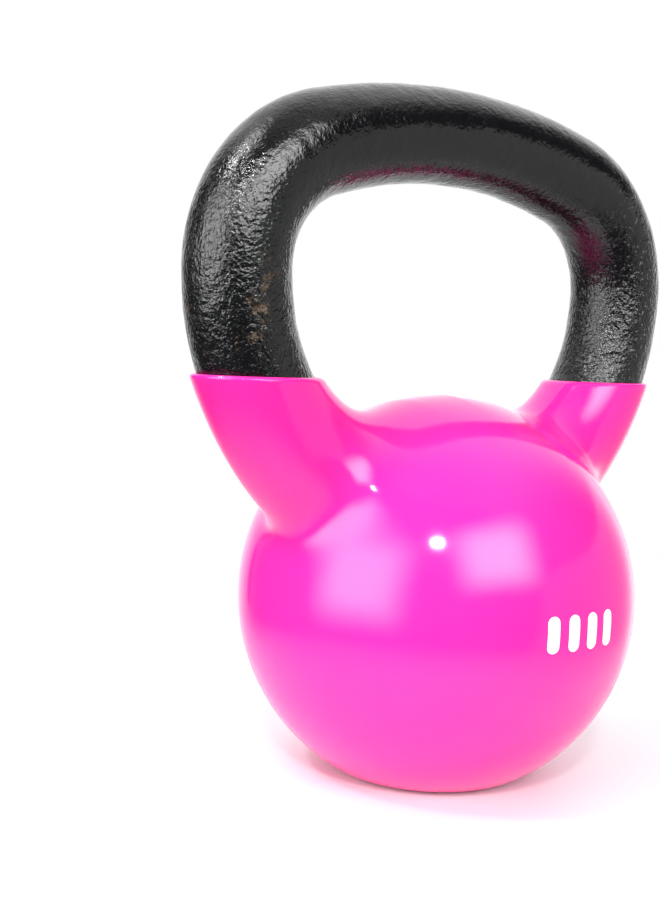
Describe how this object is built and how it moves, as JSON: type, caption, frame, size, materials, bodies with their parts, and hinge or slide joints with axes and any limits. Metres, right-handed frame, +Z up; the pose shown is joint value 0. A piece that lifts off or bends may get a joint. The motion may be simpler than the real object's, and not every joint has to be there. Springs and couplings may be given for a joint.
{
  "type": "kettlebell",
  "caption": "Round kettlebell with a black enamelled iron handle and a glossy pink vinyl skin over the ball and both horns, standing on a small flat base.",
  "frame": {"origin": "centre of the flat base, on the floor", "axes": "+Z up from the floor through the ball's centre, X along the handle bar, and -Y the front, where the weight mark is"},
  "size_m": [0.185, 0.1233, 0.2095],
  "materials": {
    "cast_iron": "matte",
    "black_enamel": "gloss",
    "pink_vinyl": "gloss",
    "white_print": "satin"
  },
  "bodies": {
    "root": {"iron_casting": "cast_iron", "handle_enamel": "black_enamel", "vinyl_coat": "pink_vinyl", "weight_mark": "white_print"}
  },
  "joints": []
}
